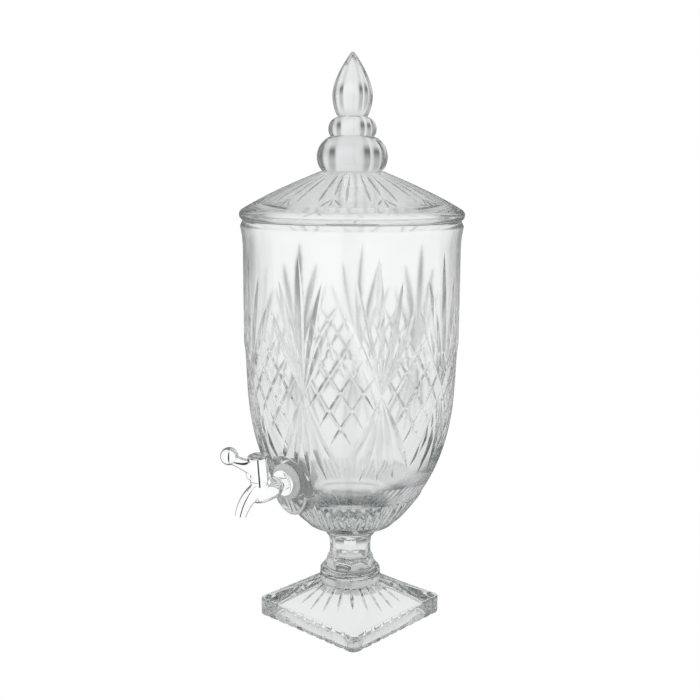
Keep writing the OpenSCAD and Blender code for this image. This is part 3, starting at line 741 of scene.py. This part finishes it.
def post(profile):
    """A profile of (radius, height) turned about the handle's axis."""
    radius, height = np.hsplit(np.asarray(profile, float), 2)
    a = np.radians(np.arange(TAP_COLUMNS) * 360.0 / TAP_COLUMNS)[None, :]
    return skin(tap_point(AXIS_OUT + radius * np.cos(a), height, radius * np.sin(a)))


def ball(out, up, radius):
    """A ball as a stack of rings: radius times the cosine, at the radius times the sine of the latitude."""
    latitude = np.radians(np.linspace(-BALL_END, BALL_END, BALL_RINGS))
    rise, reach = radius * np.sin(latitude), radius * np.cos(latitude)
    return sweep(np.column_stack((np.full(BALL_RINGS, out), up + rise, reach)))


def lever_side(shape):
    """A shape drawn straight over the spout, turned about the handle's axis to where the lever points."""
    points, faces = shape
    from_axis = points - tap_point(AXIS_OUT, 0.0, 0.0)
    out, side = from_axis @ SHANK_OUT, from_axis @ SIDE
    along, aside = math.cos(LEVER_AT), math.sin(LEVER_AT)
    turned_out, turned_side = out * along - side * aside, out * aside + side * along
    return tap_point(AXIS_OUT + turned_out, from_axis @ SHANK_UP, turned_side), faces


def sector(inner, outer, low, high, start, end):
    """A block between two radii, two heights and two angles about the handle's axis."""
    a = np.radians(np.linspace(start, end, 25))[:, None]
    radius = np.array((inner, inner, outer, outer))[None, :]
    height = np.array((low, high, high, low))[None, :]
    return skin(tap_point(AXIS_OUT + radius * np.cos(a), height, radius * np.sin(a)))


def tap_body(material):
    """Chromed body: threaded shank, flange, egg, collar, and a spout that narrows round its bend."""
    ridges = np.arange(int((SHANK_IN - THREAD_STOP) / THREAD_PITCH) * 2)
    shank = np.column_stack((-SHANK_IN + ridges * THREAD_PITCH / 2, np.take(THREAD_R, ridges % 2)))
    turned_line = np.vstack((shank, THREAD_END, FLANGE, EGG))
    made = mesh_object("chrome_body", *sweep(np.insert(turned_line, 1, 0.0, axis=1)))
    share = np.linspace(0.0, 1.0, SPOUT_RINGS)
    bend = np.radians(BEND_FROM + (BEND_TO - BEND_FROM) * share)
    radius = SPOUT_R[0] + (SPOUT_R[1] - SPOUT_R[0]) * share ** SPOUT_POWER
    reach = BEND_OUTER_R - radius
    out, up = BEND_CENTRE[0] + reach * np.cos(bend), BEND_CENTRE[1] + reach * np.sin(bend)
    spout = np.column_stack((out, up, radius))
    last = spout[-1] + (spout[-1] - spout[-2])
    bore = np.vstack((spout[SPOUT_BORE_FROM:], last))
    bore[:, 2] = SPOUT_BORE_R
    collar = ((CORE_R, 0.0), (COLLAR_R, 0.0), (COLLAR_R, COLLAR_H - CHAMFER), (COLLAR_R - CHAMFER, COLLAR_H),
              (CORE_R, COLLAR_H))
    for tool in (post(collar), sweep(spout)):
        combine(made, mesh_object("tool", *tool), "UNION")
    window = sector(WINDOW_R, COLLAR_R + CUT_OVER, COLLAR_H - WINDOW_H, COLLAR_H + CUT_OVER, *WINDOW)
    hollows = sweep(SHANK_BORE), sweep(PORT), post(CHAMBER), post(CLIP_SEAT), sweep(bore), window
    for tool in hollows:
        combine(made, mesh_object("tool", *tool), "DIFFERENCE")
    dress(made, "vessel", material, ("tap_body",), TAP_CREASE)


def tap_handle(material):
    """Chromed handle: barrel with a heel, a horn that bends up to its ball, and the stop tab below."""
    low, high = BARREL_R
    barrel = ((CORE_R, BARREL_Z), (low - CHAMFER, BARREL_Z), (low, BARREL_Z + CHAMFER),
              (high, BARREL_TOP - CHAMFER), (high - CHAMFER, BARREL_TOP), (CORE_R, BARREL_TOP))
    made = mesh_object("chrome_handle", *post(barrel))
    horn = bezier(HORN, 30) + (AXIS_OUT, 0.0, 0.0)
    heel_out, heel_z, heel_r = HEEL
    heel = sweep(((AXIS_OUT + heel_out, heel_z, heel_r), (AXIS_OUT + heel_out, HEEL_TOP, heel_r)))
    tab = sector(TAB_R, COLLAR_R, COLLAR_H - WINDOW_H + TAB_GAP, BARREL_Z + TAB_ROOT, *TAB)
    knob, heel_end = ball(AXIS_OUT + BALL[0], *BALL[1:]), ball(AXIS_OUT + heel_out, heel_z, heel_r)
    lever = sweep(horn), knob, heel, heel_end
    for tool in (*map(lever_side, lever), tab):
        combine(made, mesh_object("tool", *tool), "UNION")
    for profile in (SOCKET, SCREW_HOLE, HEAD_SEAT, SPIGOT_SEAT, DISC_ROOM):
        combine(made, mesh_object("tool", *post(profile)), "DIFFERENCE")
    dress(made, "handle", material, ("tap_handle",), TAP_CREASE)


# Materials: the mottle's fineness, range and share in the gloss, the height of the bumps in metres, and glass
MOTTLE_SIZE = 120.0
MOTTLE_DETAIL = 3.0
MOTTLE_FROM, MOTTLE_TO = 0.3, 0.7
GLOSS_SHARE = 0.37
LUMP_HEIGHT = 0.0005
GLASS = ("pressed_glass", (0.975, 0.985, 0.983), (0.99, 0.995, 0.993), (0.0, 0.012), 60.0, 0.03)
GLASS_IOR = 1.5
GLASS_TINT = (0.465, 0.505, 0.5)
GLASS_DENSITY = 10.0
INSIDE_ROUGHNESS = 0.12
SHADOW_TINT = (0.9, 0.91, 0.91)


def node_tree(material):
    """The material's node tree, emptied, and its output."""
    material.use_nodes = True
    tree = material.node_tree
    tree.nodes.clear()
    return tree, tree.nodes.new("ShaderNodeOutputMaterial")


def mottle_group():
    """Shared effect: noise on object coordinates, as a value between Low and High and as a height."""
    group = bpy.data.node_groups.new("mottle", "ShaderNodeTree")
    for name, value in (("Size", MOTTLE_SIZE), ("Low", 0.0), ("High", 1.0)):
        socket = group.interface.new_socket(name, in_out="INPUT", socket_type="NodeSocketFloat")
        socket.default_value = value
    group.interface.new_socket("Value", in_out="OUTPUT", socket_type="NodeSocketFloat")
    group.interface.new_socket("Height", in_out="OUTPUT", socket_type="NodeSocketFloat")
    nodes, links = group.nodes, group.links
    outside = nodes.new("NodeGroupInput")
    result = nodes.new("NodeGroupOutput")
    place = nodes.new("ShaderNodeTexCoord")
    noise = nodes.new("ShaderNodeTexNoise")
    noise.inputs["Detail"].default_value = MOTTLE_DETAIL
    spread = nodes.new("ShaderNodeMapRange")
    spread.inputs["From Min"].default_value = MOTTLE_FROM
    spread.inputs["From Max"].default_value = MOTTLE_TO
    links.new(place.outputs["Object"], noise.inputs["Vector"])
    links.new(outside.outputs["Size"], noise.inputs["Scale"])
    links.new(noise.outputs["Fac"], spread.inputs["Value"])
    links.new(outside.outputs["Low"], spread.inputs["To Min"])
    links.new(outside.outputs["High"], spread.inputs["To Max"])
    links.new(spread.outputs["Result"], result.inputs["Value"])
    links.new(noise.outputs["Fac"], result.inputs["Height"])
    return group


def finish_material(mottle, name, dark, light, roughness, size, bump, **sockets):
    """A Principled finish: colour and roughness vary with the mottle, and a slight bump follows it."""
    material = bpy.data.materials.new(name)
    tree, output = node_tree(material)
    surface = tree.nodes.new("ShaderNodeBsdfPrincipled")
    for key, value in sockets.items():
        surface.inputs[key.replace("_", " ").title().replace("Ior", "IOR")].default_value = value
    tone = tree.nodes.new("ShaderNodeGroup")
    tone.node_tree = mottle
    tone.inputs["Size"].default_value = size
    gloss = tree.nodes.new("ShaderNodeGroup")
    gloss.node_tree = mottle
    gloss.inputs["Size"].default_value = size * GLOSS_SHARE
    gloss.inputs["Low"].default_value, gloss.inputs["High"].default_value = roughness
    colour = tree.nodes.new("ShaderNodeMix")
    colour.data_type = "RGBA"
    colour.inputs[6].default_value = (*dark, 1.0)
    colour.inputs[7].default_value = (*light, 1.0)
    lumps = tree.nodes.new("ShaderNodeBump")
    lumps.inputs["Strength"].default_value = bump
    lumps.inputs["Distance"].default_value = LUMP_HEIGHT
    tree.links.new(tone.outputs["Value"], colour.inputs["Factor"])
    tree.links.new(colour.outputs[2], surface.inputs["Base Color"])
    tree.links.new(gloss.outputs["Value"], surface.inputs["Roughness"])
    tree.links.new(tone.outputs["Height"], lumps.inputs["Height"])
    tree.links.new(lumps.outputs["Normal"], surface.inputs["Normal"])
    tree.links.new(surface.outputs["BSDF"], output.inputs["Surface"])
    return material


def glass_material(mottle):
    """Pressed glass: a little wavy, grey-green where it is thick, and open to shadow rays."""
    material = finish_material(mottle, *GLASS, transmission_weight=1.0, ior=GLASS_IOR)
    tree = material.node_tree
    surface = next(n for n in tree.nodes if n.type == "BSDF_PRINCIPLED")
    output = next(n for n in tree.nodes if n.type == "OUTPUT_MATERIAL")
    ray = tree.nodes.new("ShaderNodeLightPath")
    clear = tree.nodes.new("ShaderNodeBsdfTransparent")
    clear.inputs["Color"].default_value = (*SHADOW_TINT, 1.0)
    either = tree.nodes.new("ShaderNodeMixShader")
    tree.links.new(ray.outputs["Is Shadow Ray"], either.inputs["Fac"])
    tree.links.new(surface.outputs["BSDF"], either.inputs[1])
    tree.links.new(clear.outputs["BSDF"], either.inputs[2])
    tree.links.new(either.outputs["Shader"], output.inputs["Surface"])
    inside = tree.nodes.new("ShaderNodeAttribute")
    inside.attribute_name = "inside"
    outer = surface.inputs["Roughness"].links[0].from_socket
    inner = math_node(tree, "MULTIPLY", inside.outputs["Fac"], INSIDE_ROUGHNESS)
    tree.links.new(math_node(tree, "MAXIMUM", outer, inner), surface.inputs["Roughness"])
    depth = tree.nodes.new("ShaderNodeVolumeAbsorption")
    depth.inputs["Color"].default_value = (*GLASS_TINT, 1.0)
    depth.inputs["Density"].default_value = GLASS_DENSITY
    tree.links.new(depth.outputs["Volume"], output.inputs["Volume"])
    return material


# Studio


def ramp(tree, stops):
    """A grey ramp through (position, level) stops."""
    made = tree.nodes.new("ShaderNodeValToRGB")
    bar = made.color_ramp.elements
    while len(bar) > 1:
        bar.remove(bar[-1])
    bar[0].position = stops[0][0]
    bar[0].color = (*[stops[0][1]] * 3, 1.0)
    for position, level in stops[1:]:
        bar.new(position).color = (*[level] * 3, 1.0)
    return made


def math_node(tree, operation, first, second=None):
    """A Math node; each input is a socket or a number."""
    made = tree.nodes.new("ShaderNodeMath")
    made.operation = operation
    for socket, value in zip(made.inputs, (first, second)):
        if isinstance(value, (int, float)):
            socket.default_value = value
        elif value is not None:
            tree.links.new(value, socket)
    return made.outputs[0]


VIEW_AZIMUTH = 42.48
# Backdrop seen through the glass, under the level of the eye: degrees to the right of straight behind, and
# the level there
BACKDROP = ((-180, 1.0), (-140, 1.0), (-137, 0.35), (-99, 0.35), (-96, 0.9), (-88, 0.9), (-85, 0.3),
            (-64, 0.3), (-61, 0.9), (-56, 0.9), (-53, 0.2), (-40, 0.2), (-37, 0.75), (-30, 0.75),
            (-27, 0.12), (-19, 0.12), (-16.5, 0.8), (-11, 1.0), (-6, 1.06), (15, 1.06), (19, 1.0),
            (21.5, 0.12), (28, 0.12), (31, 0.7), (40, 0.8), (44, 0.8), (47, 0.22), (70, 0.22), (73, 1.0),
            (180, 1.0))
# The same over the level of the eye, behind the knob
UPPER = ((-180, 0.6), (-90, 0.6), (-70, 0.25), (-40, 0.3), (-34, 0.85), (-28, 0.55), (-20, 0.55),
         (-15, 0.95), (18, 1.02), (22, 0.6), (28, 0.6), (33, 0.95), (44, 0.95), (48, 0.3), (58, 0.35),
         (64, 0.8), (180, 0.6))
RAISE_FROM, RAISE_TO = -0.16, 0.1
# The same towards the table: white with dark lines
TABLE_LINES = 8
TABLE_WHITE = 0.95
TABLE_DARK = 0.8
TABLE_HALF = 0.16
TABLE_FROM, TABLE_TO = -0.1, -0.3
# What chrome mirrors: degrees round from straight behind, and the level there
MIRRORED = ((-180, 0.02), (-172, 0.02), (-167, 1.06), (-60, 1.0), (-44, 0.22), (44, 0.22), (60, 1.0),
            (170, 1.06), (175, 0.02), (180, 0.02))
OVERHEAD_LEVEL = 0.85
OVERHEAD_FROM, OVERHEAD_TO = 0.2, 0.5
ZENITH_LEVEL = 0.55
ZENITH_FROM, ZENITH_TO = 0.5, 0.75
ROOM_LEVEL = 0.8


def round_ramp(tree, turns, stops):
    """A ramp once round the horizon through (degrees, level) stops, with its ends at -180 and 180 degrees."""
    made = ramp(tree, [(0.5 + degrees / 360.0, level) for degrees, level in stops])
    tree.links.new(turns, made.inputs["Fac"])
    return made.outputs["Color"]


def pick(tree, factor, first, second):
    """A colour Mix node; each colour is a socket or a grey level."""
    made = tree.nodes.new("ShaderNodeMix")
    made.data_type = "RGBA"
    for socket, value in ((made.inputs["Factor"], factor), (made.inputs[6], first), (made.inputs[7], second)):
        if isinstance(value, float):
            socket.default_value = (value, value, value, 1.0)
        else:
            tree.links.new(value, socket)
    return made.outputs[2]


def smooth_step(tree, value, low, high):
    """A value that eases from 0 at low to 1 at high."""
    made = tree.nodes.new("ShaderNodeMapRange")
    made.interpolation_type = "SMOOTHSTEP"
    made.inputs["From Min"].default_value = low
    made.inputs["From Max"].default_value = high
    tree.links.new(value, made.inputs["Value"])
    return made.outputs["Result"]


def studio_world():
    """White for the camera, panels with grey gaps behind the glass, white walls with a slit in chrome."""
    world = bpy.data.worlds.new("studio")
    SCENE.world = world
    world.use_nodes = True
    tree = world.node_tree
    tree.nodes.clear()
    output = tree.nodes.new("ShaderNodeOutputWorld")
    light = tree.nodes.new("ShaderNodeBackground")
    place = tree.nodes.new("ShaderNodeTexCoord")
    split = tree.nodes.new("ShaderNodeSeparateXYZ")
    ray = tree.nodes.new("ShaderNodeLightPath")
    tree.links.new(place.outputs["Generated"], split.inputs[0])
    back_y = math_node(tree, "MULTIPLY", split.outputs["Y"], -1.0)
    azimuth = math_node(tree, "ARCTAN2", split.outputs["X"], back_y)
    share = math_node(tree, "DIVIDE", azimuth, -2 * math.pi)
    turns = math_node(tree, "FRACT", math_node(tree, "ADD", share, 2.0 + VIEW_AZIMUTH / 360.0))
    height = smooth_step(tree, split.outputs["Z"], OVERHEAD_FROM, OVERHEAD_TO)
    raised = smooth_step(tree, split.outputs["Z"], RAISE_FROM, RAISE_TO)
    down = smooth_step(tree, split.outputs["Z"], TABLE_FROM, TABLE_TO)
    zenith = smooth_step(tree, split.outputs["Z"], ZENITH_FROM, ZENITH_TO)
    table = ramp(tree, ((0.0, TABLE_DARK), (TABLE_HALF / 2, TABLE_DARK), (TABLE_HALF, TABLE_WHITE),
                        (1 - TABLE_HALF, TABLE_WHITE), (1 - TABLE_HALF / 2, TABLE_DARK)))
    repeats = math_node(tree, "ADD", math_node(tree, "MULTIPLY", turns, TABLE_LINES), 0.5)
    tree.links.new(math_node(tree, "FRACT", repeats), table.inputs["Fac"])
    level = pick(tree, down, round_ramp(tree, turns, BACKDROP), table.outputs["Color"])
    level = pick(tree, raised, level, round_ramp(tree, turns, UPPER))
    overhead = pick(tree, zenith, OVERHEAD_LEVEL, ZENITH_LEVEL)
    backdrop = pick(tree, height, level, overhead)
    mirrored = pick(tree, ray.outputs["Is Glossy Ray"], ROOM_LEVEL, round_ramp(tree, turns, MIRRORED))
    through = pick(tree, ray.outputs["Is Transmission Ray"], mirrored, backdrop)
    tree.links.new(pick(tree, ray.outputs["Is Camera Ray"], through, 1.0), light.inputs["Color"])
    tree.links.new(light.outputs["Background"], output.inputs["Surface"])


FLOOR_R = 520.0
FLOOR_DROP = 0.2
FLOOR_GREY = 0.95
FLOOR_COLUMNS = 128
FLOOR_GLOW = 0.6
GLOW_SEEN = 1.3
GLOW_CAST = 0.6


def studio_floor():
    """A pale round floor that glows up to white and keeps the soft shadow of the object."""
    profile = np.array(((CORE_R, -FLOOR_DROP), (FLOOR_R, -FLOOR_DROP)))
    floor = mesh_object("floor", *turned(profile, FLOOR_COLUMNS))
    material = bpy.data.materials.new("pale_floor")
    tree, output = node_tree(material)
    plain = tree.nodes.new("ShaderNodeBsdfDiffuse")
    plain.inputs["Color"].default_value = (FLOOR_GREY, FLOOR_GREY, FLOOR_GREY, 1.0)
    glow = tree.nodes.new("ShaderNodeEmission")
    ray = tree.nodes.new("ShaderNodeLightPath")
    seen = math_node(tree, "MAXIMUM", ray.outputs["Is Camera Ray"], ray.outputs["Is Glossy Ray"])
    more = math_node(tree, "MULTIPLY", seen, GLOW_SEEN - GLOW_CAST)
    tree.links.new(math_node(tree, "ADD", more, GLOW_CAST), glow.inputs["Strength"])
    both = tree.nodes.new("ShaderNodeMixShader")
    both.inputs["Fac"].default_value = FLOOR_GLOW
    tree.links.new(plain.outputs["BSDF"], both.inputs[1])
    tree.links.new(glow.outputs["Emission"], both.inputs[2])
    tree.links.new(both.outputs["Shader"], output.inputs["Surface"])
    floor.data.materials.append(material)
    floor.visible_transmission = False
    floor.visible_glossy = False


def studio_lamp(name, place, aim, size, energy):
    """A soft square lamp that lights surfaces but is not itself mirrored in chrome or glass."""
    lamp = bpy.data.lights.new(name, "AREA")
    lamp.size = size
    lamp.energy = energy
    made = bpy.data.objects.new(name, lamp)
    made.location = Vector(place)
    made.rotation_euler = (Vector(aim) - Vector(place)).to_track_quat("-Z", "Y").to_euler()
    made.visible_glossy = False
    made.visible_transmission = False
    SCENE.collection.objects.link(made)


FOCAL_PX = 1008.6
IMAGE_PX = 700.0
ELEVATION = 10.09
DISTANCE = 890.4
AIM_Z = 246.1
ROLL = 0.3
ASIDE = 1.1
SENSOR = 36.0
CLIP_FROM, CLIP_TO = 0.01, 50.0


def studio_camera():
    """The photograph's view, by azimuth, elevation and distance from the object, and rolled a little."""
    data = bpy.data.cameras.new("camera")
    data.sensor_width = SENSOR
    data.lens = SENSOR * FOCAL_PX / IMAGE_PX
    data.clip_start, data.clip_end = CLIP_FROM, CLIP_TO
    camera = bpy.data.objects.new("camera", data)
    a, e = math.radians(VIEW_AZIMUTH), math.radians(ELEVATION)
    back = Vector((math.sin(a) * math.cos(e), -math.cos(a) * math.cos(e), math.sin(e)))
    right = Vector((math.cos(a), math.sin(a), 0.0))
    camera.location = (Vector((0.0, 0.0, AIM_Z)) + DISTANCE * back - ASIDE * right) * MM
    camera.rotation_euler = ((-back).to_track_quat("-Z", "Y").to_matrix()
                             @ Matrix.Rotation(math.radians(ROLL), 3, "Z")).to_euler()
    SCENE.collection.objects.link(camera)
    SCENE.camera = camera


GLASS_BOUNCES = 32
GLOSSY_BOUNCES = 16
LAMP_AIM = (0.0, 0.0, 0.2)
# Lamps: place in metres, size and energy
LAMPS = {"key": ((-0.9, -1.1, 1.5), 1.2, 14.0), "fill": ((1.3, -0.6, 0.9), 1.0, 5.0)}
# Finishes by slot: name, darker and lighter colour, least and greatest roughness, fineness of the mottle,
# strength of the bump, metallic
FINISHES = {
    "chrome": ("polished_chrome", (0.92, 0.925, 0.93), (0.97, 0.97, 0.975), (0.03, 0.07), 90.0, 0.01, 1.0),
    "silicone": ("grey_silicone", (0.56, 0.58, 0.57), (0.63, 0.65, 0.64), (0.4, 0.55), 400.0, 0.1, 0.0),
    "white_plastic": ("white_plastic", (0.8, 0.8, 0.78), (0.87, 0.87, 0.85), (0.3, 0.45), 500.0, 0.08, 0.0),
    "black_rubber": ("black_rubber", (0.02, 0.02, 0.02), (0.035, 0.035, 0.035), (0.4, 0.6), 600.0, 0.08, 0.0),
    "steel": ("turned_steel", (0.5, 0.5, 0.51), (0.62, 0.62, 0.63), (0.2, 0.35), 800.0, 0.05, 1.0),
    "grey_plastic": ("speckled_grey", (0.06, 0.06, 0.063), (0.66, 0.67, 0.68), (0.2, 0.35), 330.0, 0.1, 0.0),
}

studio_camera()
studio_world()
studio_floor()
for lamp_name, (lamp_place, lamp_size, lamp_energy) in LAMPS.items():
    studio_lamp(lamp_name, lamp_place, LAMP_AIM, lamp_size, lamp_energy)

mottle = mottle_group()
glass = glass_material(mottle)
finishes = {slot: finish_material(mottle, *values, metallic=metallic)
            for slot, (*values, metallic) in FINISHES.items()}
for part in frame["record"]["subparts"]:
    if part["material_slot"] != "glass":
        mesh = frame["nodes"][part["node"]].data
        mesh.materials.clear()
        mesh.materials.append(finishes[part["material_slot"]])
urn(glass)
lid_glass(glass)
tap_body(finishes["chrome"])
tap_handle(finishes["chrome"])

SCENE.view_settings.view_transform = "Standard"
SCENE.cycles.max_bounces = GLASS_BOUNCES
SCENE.cycles.transmission_bounces = GLASS_BOUNCES
SCENE.cycles.glossy_bounces = GLOSSY_BOUNCES
SCENE.cycles.transparent_max_bounces = GLASS_BOUNCES
